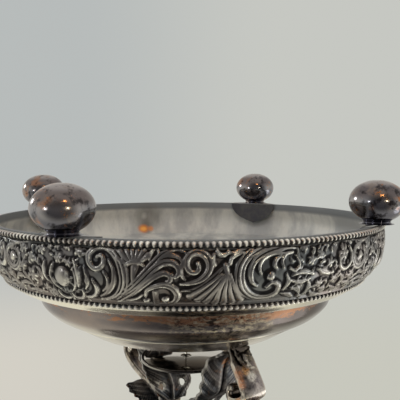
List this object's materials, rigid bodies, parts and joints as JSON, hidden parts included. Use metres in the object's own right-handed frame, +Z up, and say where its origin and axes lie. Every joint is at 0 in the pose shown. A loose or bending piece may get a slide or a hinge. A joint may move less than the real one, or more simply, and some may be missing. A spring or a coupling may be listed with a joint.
{
  "type": "bride's basket with a swing handle",
  "caption": "Plated basket on a footed, domed stand with scroll brackets, beaded wires, relief borders and a bail handle that swings.",
  "frame": {"origin": "on the axis, at the level that the ball feet stand on", "axes": "+Z up through the stem; X runs through the two handle rivets; the scroll brackets stand towards -Y and +Y"},
  "size_m": [0.2458, 0.2314, 0.301],
  "materials": {
    "foot_metal": "dark tarnished silver plate over copper, glossy",
    "tab_metal": "dark dull plate",
    "relief_metal": "tarnished silver plate, bright on the raised edges and dark in the hollows",
    "bead_metal": "silver plate, dark between the beads",
    "dome_metal": "polished dark silver plate, worn through to copper in streaks",
    "bracket_metal": "cast and plated, worn warm on the edges",
    "leaf_metal": "cast and plated, dark in the veins",
    "stem_metal": "turned and plated, tarnished",
    "basket_metal": "polished plate, tarnished",
    "handle_metal": "polished plate, worn on the crown",
    "fixing_metal": "dull brass"
  },
  "bodies": {
    "stand": {"ball_foot_1": "foot_metal", "ball_foot_2": "foot_metal", "ball_foot_3": "foot_metal", "ball_foot_4": "foot_metal", "foot_tab_1": "tab_metal", "foot_tab_2": "tab_metal", "foot_tab_3": "tab_metal", "foot_tab_4": "tab_metal", "base_border": "relief_metal", "lower_bead_wire": "bead_metal", "upper_bead_wire": "bead_metal", "base_dome": "dome_metal", "bridge_disc": "dome_metal", "centre_bolt": "fixing_metal", "bolt_washer": "fixing_metal", "bolt_nut": "fixing_metal", "scroll_bracket_front": "bracket_metal", "inner_leaf_front": "leaf_metal", "outer_leaf_front": "leaf_metal", "scroll_bracket_back": "bracket_metal", "inner_leaf_back": "leaf_metal", "outer_leaf_back": "leaf_metal", "stem_collar": "stem_metal", "stem_baluster": "stem_metal", "basket_seat": "stem_metal", "stem_rod": "fixing_metal", "rod_nut": "fixing_metal", "basket_button": "stem_metal", "basket_bowl": "basket_metal", "basket_border": "relief_metal", "basket_foot_bead": "bead_metal", "basket_rim_bead": "bead_metal", "handle_ear_right": "basket_metal", "handle_rivet_right": "fixing_metal", "handle_ear_left": "basket_metal", "handle_rivet_left": "fixing_metal"},
    "handle": {"bail_handle": "handle_metal"}
  },
  "joints": [
    {"name": "handle_swing", "type": "hinge", "parent": "stand", "child": "handle", "pos_m": [0, 0, 0.207], "axis": [1, 0, 0], "range_deg": [-92, 92]}
  ]
}
